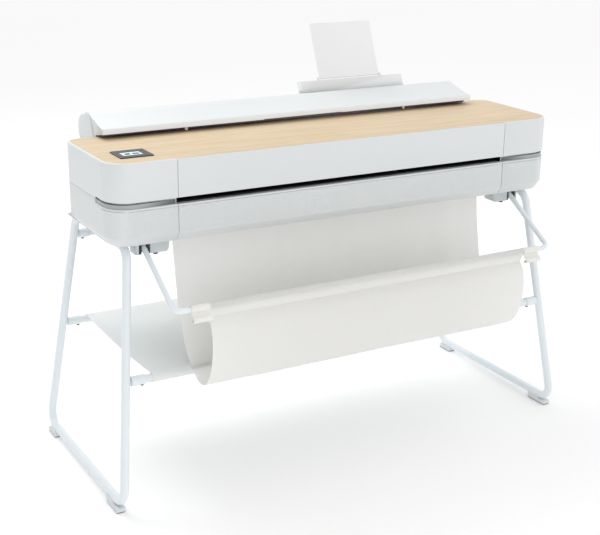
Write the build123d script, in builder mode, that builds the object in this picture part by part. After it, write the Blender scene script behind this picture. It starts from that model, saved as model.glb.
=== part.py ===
from build123d import *
import os
from math import atan2, cos, radians, sin

# Large format roll-fed plotter on a tube stand with a drawing bin and a shelf.
# Frame: X across the machine with 0 at its middle, +Y to the rear, Z up from the floor.
# Depths in this file are measured back from the body's front face, which lies at Y = FRONT.
FRONT = -179.1

# Body
BODY_W = 1317.0
BODY_D = 321.5
BODY_BOTTOM = 662.0
BODY_TOP = 865.3
R_FRONT = 61.0
R_REAR = 41.0
WALL = 3.0
SKIRT_Z = 683.0
SKIRT_TAPER = 35.5
SLOT_LOW = 755.0
SLOT_HIGH = 771.0
SIDE_SEAM = 765.8
SLOT_BACK = 103.0
SEAM_X = 488.0
GROOVE = 12.0
RIM = 6.0
POCKET_Z = 860.3
DECK_UNDER = 856.0

# Front cover hinge
COVER_Y = 3.0
COVER_Z = 862.3
COVER_R = 3.0
COVER_PIN_R = 1.5

# Roll cover and its housing
HOOD_X = 571.0
HOUSE_X = 567.4
HINGE_Y = 442.0
HINGE_Z = 838.0
HINGE_R = 4.5
HOUSE_BACK = 446.6
HOUSE_TOP = 832.4
HOUSE_BOTTOM = 668.0
PAPER_X = 480.0

# Sheet feeder, leaning back behind the ridge of the roll cover
LEAN = radians(22.8)
FEED_X = (71.0, 424.0)
EXT_X = (144.0, 346.0)
FEED_TOP = (420.0, 943.5)
FEED_PIVOT = (424.2, 947.5)
EXT_LENGTH = 161.0

# Stand
TUBE_R = 11.0
LEG_TOP = (607.1, 38.6, 397.4, 648.0)
LEG_FOOT = (675.9, -62.8, 501.2, 23.0)
LEG_BEND = 40.0
FOOT_X = (665.5, 690.0)
SHELF_Z = 330.0
SHELF_Y = (-13.0, 450.0)
SHELF_R = 10.0
SLEEVE_X = 593.0
CLOTH_X = 575.0
CROSS_Y = 407.0
CROSS_Z = 590.0
SLEEVE_R = 12.5
SHELF_POST_X = 629.0
CROSS_POST_X = 600.5

# Drawing bin
ROD_R = 7.0
ROD_X = 560.0
ROD_Y = -129.0
ROD_Z = 535.0
PIVOT_Y = 50.0
PIVOT_Z = 643.5
BIN_X = 470.0
CLOTH_T = 1.6

# Printing unit
RAIL_Y = 160.0
RAIL_Z = 835.0
RAIL_R = 6.0
PARK_X = 555.0
FEED_Y = 200.0
FEED_Z = 748.0
FEED_R = 9.0
MOTOR_Y = 240.0
MOTOR_Z = 705.0
FEED_PULLEY_R = 20.0
MOTOR_PULLEY_R = 8.0
PINCH_R = 5.0
PINCH_Z = 762.6
BELT_X = 600.0
BELT_Z = 800.0
BELT_R = 8.0
ROLL_Y = 385.0
ROLL_Z = 800.0
SPINDLE_R = 8.0
RUN_GAP = 0.05

os.makedirs("parts", exist_ok=True)


def save(piece, node):
    """Name a finished piece and write it as its own STEP file."""
    piece.part.label = node
    export_step(piece.part, f"parts/{node}.step")


def block(x, y, z, mode=Mode.ADD):
    """Box between the given low and high positions, depths from the front face."""
    middle = ((x[0] + x[1]) / 2, FRONT + (y[0] + y[1]) / 2, (z[0] + z[1]) / 2)
    with Locations(middle):
        Box(x[1] - x[0], y[1] - y[0], z[1] - z[0], mode=mode)


def bar_x(x, y, z, radius, mode=Mode.ADD):
    """Round bar along X."""
    with Locations(Location(((x[0] + x[1]) / 2, FRONT + y, z), (0, 90, 0))):
        Cylinder(radius, x[1] - x[0], mode=mode)


def bar_y(x, y, z, radius, mode=Mode.ADD):
    """Round bar along Y."""
    with Locations(Location((x, FRONT + (y[0] + y[1]) / 2, z), (90, 0, 0))):
        Cylinder(radius, y[1] - y[0], mode=mode)


def bar_z(x, y, z, radius, mode=Mode.ADD):
    """Round bar along Z."""
    with Locations((x, FRONT + y, (z[0] + z[1]) / 2)):
        Cylinder(radius, z[1] - z[0], mode=mode)


def side(x):
    """Plane facing +X at the given x: its own axes are depth and height."""
    return Plane(origin=(x, FRONT, 0), x_dir=(0, 1, 0), z_dir=(1, 0, 0))


def plan(z):
    """Plane facing up at the given height, with depth as its second axis."""
    return Plane(origin=(0, FRONT, z))


def outline(z, inset):
    """Rounded plan of the body, drawn in by an inset, at height z."""
    with BuildSketch(plan(z)) as shape:
        with Locations((0, BODY_D / 2)):
            Rectangle(BODY_W - 2 * inset, BODY_D - 2 * inset)
        front = shape.vertices().group_by(Axis.Y)[0]
        fillet(front, R_FRONT - inset)
        rear = shape.vertices().group_by(Axis.Y)[-1]
        fillet(rear, R_REAR - inset)
    return shape.sketch


def mirrored(x, sign):
    """A left or right span of x, in rising order."""
    return (x[0], x[1]) if sign > 0 else (-x[1], -x[0])


SIDES = (("left", -1), ("right", 1))

# ---------------------------------------------------------------- body casings


def lower_shell():
    """Open tray of the lower body: upright walls over a tapered skirt."""
    extrude(outline(SKIRT_Z, 0), amount=SIDE_SEAM - 0.8 - SKIRT_Z)
    extrude(outline(SKIRT_Z, 0), amount=BODY_BOTTOM - SKIRT_Z, taper=SKIRT_TAPER)
    extrude(outline(SKIRT_Z, WALL), amount=SIDE_SEAM - SKIRT_Z, mode=Mode.SUBTRACT)
    extrude(outline(SKIRT_Z, WALL), amount=BODY_BOTTOM + WALL - SKIRT_Z, taper=SKIRT_TAPER, mode=Mode.SUBTRACT)
    block((-700, 700), (-20, SLOT_BACK), (SLOT_LOW, 800), Mode.SUBTRACT)


with BuildPart() as lower_casing:
    lower_shell()
    # ledge and inner band that close the groove round the two ends
    extrude(outline(SLOT_LOW - 4, WALL), amount=4)
    extrude(outline(SLOT_LOW - 4, GROOVE + 2), amount=4, mode=Mode.SUBTRACT)
    extrude(outline(SLOT_LOW, GROOVE), amount=20)
    extrude(outline(SLOT_LOW, GROOVE + 2), amount=20, mode=Mode.SUBTRACT)
    block((-647, 647), (SLOT_BACK + 8, 300), (SLOT_LOW, 800), Mode.SUBTRACT)
    block((-636, 636), (290, 310), (SLOT_LOW, 800), Mode.SUBTRACT)
    block((-SEAM_X, SEAM_X), (-20, 40), (600, 800), Mode.SUBTRACT)
    block((-PAPER_X, PAPER_X), (300, 330), (735, 800), Mode.SUBTRACT)
    block((585.5, 606.5), (315, 325), (697, 754.5), Mode.SUBTRACT)
save(lower_casing, "lower_casing")

with BuildPart() as lower_front_panel:
    lower_shell()
    block((-SEAM_X + 1.1, SEAM_X - 1.1), (-20, 39.6), (600, 800), Mode.INTERSECT)
    block((-SEAM_X + 1.1, SEAM_X - 1.1), (WALL, 18), (SLOT_LOW - 3, SLOT_LOW))
    lip = lower_front_panel.edges().filter_by(Axis.X).group_by(Axis.Z)[-1].group_by(Axis.Y)[0]
    fillet(lip, 1.5)
save(lower_front_panel, "lower_front_panel")

with BuildPart() as upper_casing:
    extrude(outline(SIDE_SEAM, 0), amount=BODY_TOP - SIDE_SEAM)
    fillet(upper_casing.edges().group_by(Axis.Z)[-1], 4)
    extrude(outline(SIDE_SEAM, WALL), amount=DECK_UNDER - SIDE_SEAM, mode=Mode.SUBTRACT)
    extrude(outline(POCKET_Z, RIM), amount=10, mode=Mode.SUBTRACT)
    block((-700, 700), (-20, SLOT_BACK), (SIDE_SEAM - 1, SLOT_HIGH), Mode.SUBTRACT)
    block((-SEAM_X, SEAM_X), (-20, RIM + 0.3), (700, 900), Mode.SUBTRACT)
    block((-PAPER_X, PAPER_X), (300, 330), (SIDE_SEAM - 1, 790), Mode.SUBTRACT)
    for name, sign in SIDES:
        block(mirrored((SEAM_X, SEAM_X + 3), sign), (1.5, 11.5), (SLOT_HIGH, DECK_UNDER + 1))
        bore = mirrored((SEAM_X - 1, SEAM_X + 6), sign)
        bar_x(bore, COVER_Y, COVER_Z, COVER_PIN_R + RUN_GAP, Mode.SUBTRACT)
save(upper_casing, "upper_casing")

with BuildPart() as front_cover:
    edge = SEAM_X - 1.1
    block((-edge, edge), (0, WALL), (SLOT_HIGH, COVER_Z))
    block((-edge, edge), (0, 9), (SLOT_HIGH, SLOT_HIGH + 2.5))
    bar_x((-edge, edge), COVER_Y, COVER_Z, COVER_R)
    bar_x((-SEAM_X - 5, SEAM_X + 5), COVER_Y, COVER_Z, COVER_PIN_R)
save(front_cover, "front_cover")

PANEL_X = (-607.0, -522.0)
PANEL_Y = (56.0, 134.0)
SCREEN_X = (-592.0, -541.0)
SCREEN_Y = (77.0, 111.0)

with BuildPart() as wood_top:
    extrude(outline(POCKET_Z, RIM + 0.2), amount=BODY_TOP - 0.2 - POCKET_Z)
    fit_x = (PANEL_X[0] - 0.2, PANEL_X[1] + 0.2)
    fit_y = (PANEL_Y[0] - 0.2, PANEL_Y[1] + 0.2)
    block(fit_x, fit_y, (POCKET_Z - 1, 880), Mode.SUBTRACT)
    block((-SEAM_X, SEAM_X), (0, RIM + 0.5), (POCKET_Z - 1, 880), Mode.SUBTRACT)
save(wood_top, "wood_top")

with BuildPart() as control_bezel:
    block(PANEL_X, PANEL_Y, (POCKET_Z, 867.3))
    fillet(control_bezel.edges().filter_by(Axis.Z), 5)
    chamfer(control_bezel.edges().group_by(Axis.Z)[-1], 0.8)
    block(SCREEN_X, SCREEN_Y, (POCKET_Z + 1, 880), Mode.SUBTRACT)
save(control_bezel, "control_bezel")

with BuildPart() as touch_screen:
    inner_x = (SCREEN_X[0] + 0.2, SCREEN_X[1] - 0.2)
    inner_y = (SCREEN_Y[0] + 0.2, SCREEN_Y[1] - 0.2)
    block(inner_x, inner_y, (POCKET_Z + 1, 866.9))
save(touch_screen, "touch_screen")

# ---------------------------------------------------------------- roll cover and housing


def cover_curve(back, ridge, mid, front):
    """Side curve of the roll cover from its rear edge over the ridge to the front slope."""
    rear = ThreePointArc(back[0], back[1], back[2])
    crest = ThreePointArc(rear @ 1, (ridge[0] + 17, ridge[1] - 3.6), ridge)
    slope = ThreePointArc(crest @ 1, mid, front)
    return slope @ 1


with BuildPart() as roll_cover:
    with BuildSketch(side(-HOOD_X)):
        with BuildLine():
            outer_back = ((446.5, 838), (441.4, 874), (404, 908.5))
            inner_back = ((443.5, 838), (438.6, 872.5), (402.3, 905.9))
            cover_curve(outer_back, (374, 918), (341, 907), (304, 897.4))
            cover_curve(inner_back, (374, 915), (341, 903.8), (304, 893.4))
            Polyline((304, 897.4), (286, 893.6), (271.5, 891.6), (268.8, 878.4), (276.5, 876.4), (291, 884), (304, 893.4))
            Line((446.5, 838), (443.5, 838))
        make_face()
    extrude(amount=2 * HOOD_X)
    bar_x((-HOOD_X, HOOD_X), HINGE_Y, HINGE_Z, HINGE_R)
    with BuildSketch(side(-HOOD_X)):
        with BuildLine():
            cap_back = ((446.5, 838), (441.4, 874), (404, 908.5))
            cover_curve(cap_back, (374, 918), (341, 907), (304, 897.4))
            Polyline((304, 897.4), (286, 893.6), (272, 891), (270.5, 880), (300, 872), (327, 868), (327, 834))
            Polyline((327, 834), (446.5, 834), (446.5, 838))
        make_face()
    caps = extrude(amount=WALL)
    mirror(caps, about=Plane.YZ)
    # finger recess in the middle of the lip, and the throat that sheets drop through
    block((-116, 129), (265, 292), (860, 879.5), Mode.SUBTRACT)
    block((FEED_X[0] - 0.4, FEED_X[1] + 0.4), (385, 413), (885, 930), Mode.SUBTRACT)
    for name, sign in SIDES:
        block(mirrored((336, 343), sign), (277, 283), (869, 877))
save(roll_cover, "roll_cover")

with BuildPart() as roll_housing:
    with BuildSketch(side(-HOUSE_X)):
        with BuildLine():
            Line((321.8, HOUSE_TOP), (321.8, 700))
            Line((321.8, 700), (352, HOUSE_BOTTOM))
            Line((352, HOUSE_BOTTOM), (400, HOUSE_BOTTOM))
            JernArc((400, HOUSE_BOTTOM), (1, 0), HOUSE_BACK - 400, 90)
            Line((HOUSE_BACK, HOUSE_BOTTOM + HOUSE_BACK - 400), (HOUSE_BACK, HOUSE_TOP))
            Line((HOUSE_BACK, HOUSE_TOP), (321.8, HOUSE_TOP))
        make_face()
    extrude(amount=2 * HOUSE_X)
    with BuildSketch(side(-HOUSE_X + 7)):
        with BuildLine():
            deep = HOUSE_BOTTOM + WALL
            Line((324.8, 900), (324.8, 701.3))
            Line((324.8, 701.3), (353.2, deep))
            Line((353.2, deep), (400, deep))
            JernArc((400, deep), (1, 0), HOUSE_BACK - 400 - WALL, 90)
            Line((HOUSE_BACK - WALL, HOUSE_BOTTOM + HOUSE_BACK - 400), (HOUSE_BACK - WALL, 900))
            Line((HOUSE_BACK - WALL, 900), (324.8, 900))
        make_face()
    extrude(amount=2 * (HOUSE_X - 7), mode=Mode.SUBTRACT)
    block((-PAPER_X, PAPER_X), (320, 326), (735, 790), Mode.SUBTRACT)
    bar_x((-HOUSE_X - 1, HOUSE_X + 1), HINGE_Y, HINGE_Z, HINGE_R + 0.6, Mode.SUBTRACT)
save(roll_housing, "roll_housing")

# ---------------------------------------------------------------- sheet feeder


def leaning(start, thick, length):
    """Corners of a strip that rises from start along the feeder's lean."""
    up = (sin(LEAN) * length, cos(LEAN) * length)
    back = (cos(LEAN) * thick, -sin(LEAN) * thick)
    top = (start[0] + up[0], start[1] + up[1])
    return [start, top, (top[0] + back[0], top[1] + back[1]), (start[0] + back[0], start[1] + back[1])]


with BuildPart() as sheet_tray:
    foot_len = 52.0
    foot = (FEED_TOP[0] - sin(LEAN) * foot_len, FEED_TOP[1] - cos(LEAN) * foot_len)
    with BuildSketch(side(FEED_X[0])):
        with BuildLine():
            Polyline(*leaning(foot, 7, foot_len), close=True)
        make_face()
    extrude(amount=FEED_X[1] - FEED_X[0])
    # raised side edges that keep the stack square
    with BuildSketch(side(FEED_X[0])):
        with BuildLine():
            rise = (foot[0] + sin(LEAN) * 24, foot[1] + cos(LEAN) * 24)
            Polyline(*leaning(rise, -12, foot_len - 28), close=True)
        make_face()
    extrude(amount=4)
    for ear_x in (EXT_X[0] - 6.5, EXT_X[1] + 0.5):
        with BuildSketch(side(ear_x)):
            with Locations(FEED_PIVOT):
                Circle(4.5)
            with Locations((FEED_PIVOT[0] - 1, FEED_PIVOT[1] - 6)):
                Rectangle(7, 10)
        extrude(amount=6)
    bar_x((EXT_X[0] - 20, EXT_X[1] + 20), FEED_PIVOT[0], FEED_PIVOT[1], 1.85, Mode.SUBTRACT)
save(sheet_tray, "sheet_tray")

with BuildPart() as tray_extension:
    base_y = FEED_PIVOT[0] - cos(LEAN) * 2
    base_z = FEED_PIVOT[1] + sin(LEAN) * 2
    with BuildSketch(side(EXT_X[0])):
        with BuildLine():
            Polyline(*leaning((base_y, base_z), 4, EXT_LENGTH), close=True)
        make_face()
    extrude(amount=EXT_X[1] - EXT_X[0])
    bar_x(EXT_X, FEED_PIVOT[0], FEED_PIVOT[1], 2.9)
    bar_x((EXT_X[0] - 5, EXT_X[1] + 5), FEED_PIVOT[0], FEED_PIVOT[1], 1.8)
save(tray_extension, "tray_extension")

# ---------------------------------------------------------------- stand


def leg_point(sign, rear, low):
    """Corner of a leg loop: top or foot, front or rear."""
    corner = LEG_FOOT if low else LEG_TOP
    return (sign * corner[0], FRONT + corner[2 if rear else 1], corner[3])


for name, sign in SIDES:
    with BuildPart() as leg_loop:
        with BuildLine() as route:
            FilletPolyline(
                leg_point(sign, False, False),
                leg_point(sign, True, False),
                leg_point(sign, True, True),
                leg_point(sign, False, True),
                radius=LEG_BEND,
                close=True,
            )
        with BuildSketch(Plane(origin=route.line @ 0, z_dir=route.line % 0)):
            Circle(TUBE_R)
        sweep(path=route.line)
    save(leg_loop, f"leg_loop_{name}")

with BuildPart() as leg_plates:
    for name, sign in SIDES:
        block(mirrored((585, 642), sign), (70, 365), (659.1, BODY_BOTTOM - 0.1))
    fillet(leg_plates.edges().filter_by(Axis.Z), 8)
save(leg_plates, "leg_plates")

for place, span, saddle in (("front", (-46.7, 28.0), (-12.0, 28.0)), ("rear", (428.0, 484.0), (428.0, 452.0))):
    with BuildPart() as feet:
        for name, sign in SIDES:
            block(mirrored(FOOT_X, sign), span, (0, 11.9))
        fillet(feet.edges().filter_by(Axis.Z), 3)
        for name, sign in SIDES:
            block(mirrored((FOOT_X[0] + 0.5, FOOT_X[1] - 0.5), sign), saddle, (11, 21))
            bar_y(sign * LEG_FOOT[0], (-80, 520), LEG_FOOT[3], TUBE_R + 0.05, Mode.SUBTRACT)
    save(feet, f"feet_{place}")

with BuildPart() as bar_sleeves:
    for name, sign in SIDES:
        for depth in SHELF_Y:
            bar_x(mirrored((SLEEVE_X, SHELF_POST_X), sign), depth, SHELF_Z, SLEEVE_R)
            bar_x(mirrored((SLEEVE_X - 1, SLEEVE_X + 22), sign), depth, SHELF_Z, SHELF_R, Mode.SUBTRACT)
        bar_x(mirrored((CROSS_POST_X - 26, CROSS_POST_X), sign), CROSS_Y, CROSS_Z, SLEEVE_R)
        bar_x(mirrored((CROSS_POST_X - 27, CROSS_POST_X - 8), sign), CROSS_Y, CROSS_Z, SHELF_R, Mode.SUBTRACT)
save(bar_sleeves, "bar_sleeves")


def hollow_bar(depth, height, half):
    """Tube along X with a 1.5 mm wall."""
    bar_x((-half, half), depth, height, SHELF_R - 0.02)
    bar_x((-half - 1, half + 1), depth, height, SHELF_R - 1.5, Mode.SUBTRACT)


with BuildPart() as shelf_bars:
    for depth in SHELF_Y:
        hollow_bar(depth, SHELF_Z, SLEEVE_X + 21)
save(shelf_bars, "shelf_bars")

with BuildPart() as rear_cross_bar:
    hollow_bar(CROSS_Y, CROSS_Z, CROSS_POST_X - 9)
save(rear_cross_bar, "rear_cross_bar")

with BuildPart() as stand_fasteners:
    for name, sign in SIDES:
        for depth in SHELF_Y:
            bar_z(sign * 600, depth, (SHELF_Z - 15.5, SHELF_Z - 12.7), 4)
        bar_z(sign * 590, CROSS_Y, (CROSS_Z - 15.5, CROSS_Z - 12.7), 4)
        for depth in (90, 215, 345):
            bar_z(sign * 590, depth, (655.5, 659.0), 4)
        bar_x(mirrored((546.2, 573.8), sign), PIVOT_Y, PIVOT_Z, 2.99)
save(stand_fasteners, "stand_fasteners")

with BuildPart() as shelf_cloth:
    sleeve_r = SHELF_R + 0.3
    block((-CLOTH_X, CLOTH_X), SHELF_Y, (SHELF_Z + sleeve_r, SHELF_Z + sleeve_r + CLOTH_T))
    for depth in SHELF_Y:
        bar_x((-CLOTH_X, CLOTH_X), depth, SHELF_Z, sleeve_r + CLOTH_T)
    for depth in SHELF_Y:
        bar_x((-CLOTH_X - 1, CLOTH_X + 1), depth, SHELF_Z, sleeve_r, Mode.SUBTRACT)
save(shelf_cloth, "shelf_cloth")

# ---------------------------------------------------------------- drawing bin

with BuildPart() as bin_brackets:
    for name, sign in SIDES:
        block(mirrored((494, 584), sign), (42, 84), (628, BODY_BOTTOM - 0.1))
    fillet(bin_brackets.edges().filter_by(Axis.Z), 6)
    for name, sign in SIDES:
        block(mirrored((545.8, 574.2), sign), (30, 66.2), (600, 657.5), Mode.SUBTRACT)
save(bin_brackets, "bin_brackets")

with BuildPart() as bin_sockets:
    for name, sign in SIDES:
        block(mirrored((546, 574), sign), (45, 66), (625, 657.4))
        block((sign * ROD_X - 7.6, sign * ROD_X + 7.6), (30, 62.2), (600, 655.6), Mode.SUBTRACT)
        bar_x(mirrored((540, 580), sign), PIVOT_Y, PIVOT_Z, 3.0, Mode.SUBTRACT)
save(bin_sockets, "bin_sockets")

ARM_ANGLE = atan2(PIVOT_Z - ROD_Z, PIVOT_Y - ROD_Y)
ARM_END = (FRONT + PIVOT_Y + 8 * cos(ARM_ANGLE), PIVOT_Z + 8 * sin(ARM_ANGLE))

with BuildPart() as bin_rod:
    with BuildLine() as route:
        FilletPolyline(
            (-ROD_X, *ARM_END),
            (-ROD_X, FRONT + ROD_Y, ROD_Z),
            (ROD_X, FRONT + ROD_Y, ROD_Z),
            (ROD_X, *ARM_END),
            radius=20,
        )
    with BuildSketch(Plane(origin=route.line @ 0, z_dir=route.line % 0)):
        Circle(ROD_R)
    sweep(path=route.line)
    bar_x((-ROD_X - 10, ROD_X + 10), PIVOT_Y, PIVOT_Z, 3.05, Mode.SUBTRACT)
save(bin_rod, "bin_rod")

with BuildPart() as bin_clips:
    for clip_x in (-519.3, 470.3):
        with BuildSketch(side(clip_x)):
            with Locations((ROD_Y, ROD_Z)):
                Circle(ROD_R + 3)
            with Locations((ROD_Y - 1, 506)):
                Circle(7)
            with Locations((ROD_Y - 0.5, 520)):
                Rectangle(5, 26)
            with Locations((ROD_Y, ROD_Z)):
                Circle(ROD_R + 0.02, mode=Mode.SUBTRACT)
        extrude(amount=49)
save(bin_clips, "bin_clips")

with BuildPart() as bin_cloth:
    with BuildSketch(side(-BIN_X)):
        with BuildLine():
            ring = ROD_R + 0.4 + CLOTH_T / 2
            CenterArc((ROD_Y, ROD_Z), ring, 180, 340)
            Spline(
                (ROD_Y - ring, ROD_Z),
                (-144, 486),
                (-144.5, 422),
                (-125, 356),
                (-95, 318),
                (-66, 314),
                (-36, 335),
                (-7, 353),
                (30, 400),
                (50.5, 454),
                (67, 517),
                (84, 635),
                (86, 659),
            )
        trace(line_width=CLOTH_T)
    extrude(amount=2 * BIN_X)
save(bin_cloth, "bin_cloth")

# ---------------------------------------------------------------- chassis and paper path

with BuildPart() as chassis_plate:
    block((-632, 632), (46, 298), (665.2, 667))
save(chassis_plate, "chassis_plate")

with BuildPart() as side_plates:
    for name, sign in SIDES:
        block(mirrored((628, 631), sign), (80, 297), (667, 852))
        bar_x(mirrored((620, 640), sign), RAIL_Y, RAIL_Z, RAIL_R, Mode.SUBTRACT)
save(side_plates, "side_plates")

with BuildPart() as carriage_rail:
    bar_x((-631, 631), RAIL_Y, RAIL_Z, RAIL_R - 0.01)
save(carriage_rail, "carriage_rail")

with BuildPart() as guide_bar:
    block((-627.8, 627.8), (214, 218), (816, 850))
save(guide_bar, "guide_bar")

with BuildPart() as carriage:
    block((PARK_X - 55, PARK_X + 55), (112, 186), (766, 846))
    block((PARK_X - 30, PARK_X + 30), (186, 212.5), (818, 844))
    block((PARK_X - 10, PARK_X + 10), (186, 197), (810, 818))
    fillet(carriage.edges().filter_by(Axis.Z).group_by(Axis.Y)[0], 8)
    bar_x((PARK_X - 60, PARK_X + 60), RAIL_Y, RAIL_Z, RAIL_R + RUN_GAP, Mode.SUBTRACT)
save(carriage, "carriage")

with BuildPart() as print_heads:
    for shift in (-24, 24):
        block((PARK_X + shift - 18, PARK_X + shift + 18), (122, 172), (761, 766))
save(print_heads, "print_heads")

with BuildPart() as encoder_strip:
    block((-620, 620), (106, 106.4), (820, 834))
save(encoder_strip, "encoder_strip")

with BuildPart() as platen:
    block((-PAPER_X, PAPER_X), (20, 186), (753, 757))
    for depth in (40, 100, 160):
        block((-PAPER_X, PAPER_X), (depth, depth + 4), (667, 753))
save(platen, "platen")

with BuildPart() as roller_bearings:
    for name, sign in SIDES:
        block(mirrored((482, 486), sign), (188, 212), (667, 759))
        bar_x(mirrored((480, 490), sign), FEED_Y, FEED_Z, 4 + RUN_GAP, Mode.SUBTRACT)
save(roller_bearings, "roller_bearings")

with BuildPart() as feed_roller:
    bar_x((-481, 481), FEED_Y, FEED_Z, FEED_R)
    bar_x((-487, 498), FEED_Y, FEED_Z, 4)
save(feed_roller, "feed_roller")

with BuildPart() as feed_pulley:
    bar_x((488, 496), FEED_Y, FEED_Z, FEED_PULLEY_R)
    bar_x((487, 497), FEED_Y, FEED_Z, 4, Mode.SUBTRACT)
save(feed_pulley, "feed_pulley")

with BuildPart() as feed_motor:
    block((440, 478), (222, 258), (687, 723))
    bar_x((478, 480), MOTOR_Y, MOTOR_Z, 11)
    bar_x((470, 481), MOTOR_Y, MOTOR_Z, 2.5 + RUN_GAP, Mode.SUBTRACT)
save(feed_motor, "feed_motor")

with BuildPart() as motor_pulley:
    bar_x((488, 496), MOTOR_Y, MOTOR_Z, MOTOR_PULLEY_R)
    bar_x((472, 497), MOTOR_Y, MOTOR_Z, 2.5)
save(motor_pulley, "motor_pulley")

with BuildPart() as feed_belt:
    with BuildSketch(side(489)):
        with Locations((FEED_Y, FEED_Z)):
            Circle(FEED_PULLEY_R + 1.3)
        with Locations((MOTOR_Y, MOTOR_Z)):
            Circle(MOTOR_PULLEY_R + 1.3)
        make_hull()
    extrude(amount=6)
    with BuildSketch(side(488)):
        with Locations((FEED_Y, FEED_Z)):
            Circle(FEED_PULLEY_R + 0.1)
        with Locations((MOTOR_Y, MOTOR_Z)):
            Circle(MOTOR_PULLEY_R + 0.1)
        make_hull()
    extrude(amount=8, mode=Mode.SUBTRACT)
save(feed_belt, "feed_belt")

PINCH_PLACES = [-420 + 120 * n for n in range(8)]

with BuildPart() as pinch_rollers:
    for place in PINCH_PLACES:
        bar_x((place - 20, place + 20), FEED_Y, PINCH_Z, PINCH_R)
        bar_x((place - 21, place + 21), FEED_Y, PINCH_Z, 2 + RUN_GAP, Mode.SUBTRACT)
save(pinch_rollers, "pinch_rollers")

with BuildPart() as pinch_arms:
    bar_x((-470, 470), FEED_Y, PINCH_Z, 2)
    for place in PINCH_PLACES:
        for edge in (place - 26, place + 21):
            block((edge, edge + 5), (196, 213.5), (759, 786))
    block((-470, 470), (207, 213.5), (786, 790))
save(pinch_arms, "pinch_arms")

with BuildPart() as carriage_belt:
    with BuildSketch(Plane(origin=(0, FRONT + 190, 0), x_dir=(-1, 0, 0), z_dir=(0, 1, 0))):
        with Locations((0, BELT_Z)):
            SlotCenterToCenter(2 * BELT_X, 2 * (BELT_R + 1.3))
            SlotCenterToCenter(2 * BELT_X, 2 * (BELT_R + 0.1), mode=Mode.SUBTRACT)
    extrude(amount=5.5)
save(carriage_belt, "carriage_belt")

with BuildPart() as carriage_motor:
    block((BELT_X - 16, BELT_X + 16), (200, 236), (783, 814))
    bar_y(BELT_X, (199, 212), BELT_Z, 2 + RUN_GAP, Mode.SUBTRACT)
save(carriage_motor, "carriage_motor")

with BuildPart() as drive_pulley:
    bar_y(BELT_X, (189.5, 196), BELT_Z, BELT_R)
    bar_y(BELT_X, (189, 211), BELT_Z, 2)
save(drive_pulley, "drive_pulley")

with BuildPart() as idler_bracket:
    block((-616, -584), (199, 203), (780, 815))
    block((-627.9, -616), (199, 203), (790, 810))
    bar_y(-BELT_X, (188.5, 199), BELT_Z, 2)
save(idler_bracket, "idler_bracket")

with BuildPart() as idler_pulley:
    bar_y(-BELT_X, (189.5, 196), BELT_Z, BELT_R)
    bar_y(-BELT_X, (188, 198), BELT_Z, 2 + RUN_GAP, Mode.SUBTRACT)
save(idler_pulley, "idler_pulley")

with BuildPart() as cutter_rail:
    block((-560, 560), (40, 46), (836, 850))
save(cutter_rail, "cutter_rail")

with BuildPart() as cutter:
    block((-520, -496), (34, 39.8), (775, 848))
    block((-520, -496), (46.2, 50), (775, 848))
    block((-520, -496), (39.8, 46.2), (775, 834))
    with Locations(Location((-508, FRONT + 32.5, 778), (90, 0, 0))):
        Cylinder(14, 3)
    fillet(cutter.edges().filter_by(Axis.Y).group_by(Axis.Z)[-1], 2)
save(cutter, "cutter")

with BuildPart() as service_station:
    block((503, 607), (108, 188), (667, 756))
    for shift in (-24, 24):
        block((PARK_X + shift - 16, PARK_X + shift + 16), (124, 170), (752, 757), Mode.SUBTRACT)
save(service_station, "service_station")

with BuildPart() as ink_cartridges:
    for slot in range(4):
        low = -618 + 30 * slot
        block((low, low + 27), (22, 76), (669, 748))
    fillet(ink_cartridges.edges().filter_by(Axis.Z), 3)
save(ink_cartridges, "ink_cartridges")

with BuildPart() as main_board:
    block((-330, -60), (226, 300), (690, 691.6))
    block((-300, -262), (240, 278), (691.6, 694.6))
    block((-200, -150), (236, 262), (691.6, 697))
    for post in ((-322, 234), (-322, 292), (-68, 234), (-68, 292)):
        bar_z(post[0], post[1], (667, 690), 3)
save(main_board, "main_board")

with BuildPart() as power_supply:
    block((80, 300), (220, 300), (667, 716))
    fillet(power_supply.edges().filter_by(Axis.Z), 3)
save(power_supply, "power_supply")

# ---------------------------------------------------------------- rear connections

with BuildPart() as power_inlet:
    block((584, 608), (321.6, 323.4), (694, 756))
    block((586, 606), (304, 321.6), (698, 725))
    block((589, 603), (306, 330), (700, 723), Mode.SUBTRACT)
    block((588, 604), (321, 330), (734.5, 753.5), Mode.SUBTRACT)
    for pin in (593.5, 598.5):
        block((pin - 0.8, pin + 0.8), (305, 320), (708, 714))
save(power_inlet, "power_inlet")

with BuildPart() as power_switch:
    block((588.3, 603.7), (318.4, 325.2), (735.6, 752.4))
    fillet(power_switch.edges().filter_by(Axis.X).group_by(Axis.Y)[-1], 1.5)
save(power_switch, "power_switch")

with BuildPart() as port_plate:
    block((-608, -584), (321.6, 323.4), (694, 756))
    block((-603, -589), (321, 330), (702, 716), Mode.SUBTRACT)
    block((-602, -590), (321, 330), (726, 738), Mode.SUBTRACT)
save(port_plate, "port_plate")

# ---------------------------------------------------------------- roll spindle

with BuildPart() as spindle_supports:
    for name, sign in SIDES:
        block(mirrored((551, 560.3), sign), (368, 402), (760, 806))
        bar_x(mirrored((550, 562), sign), ROLL_Y, ROLL_Z, 6 + RUN_GAP, Mode.SUBTRACT)
        mouth = (ROLL_Y - 6 - RUN_GAP, ROLL_Y + 6 + RUN_GAP)
        block(mirrored((550, 562), sign), mouth, (ROLL_Z, 810), Mode.SUBTRACT)
save(spindle_supports, "spindle_supports")

with BuildPart() as spindle:
    bar_x((-549, 549), ROLL_Y, ROLL_Z, SPINDLE_R)
    bar_x((-558, 558), ROLL_Y, ROLL_Z, 6)
save(spindle, "spindle")

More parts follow.
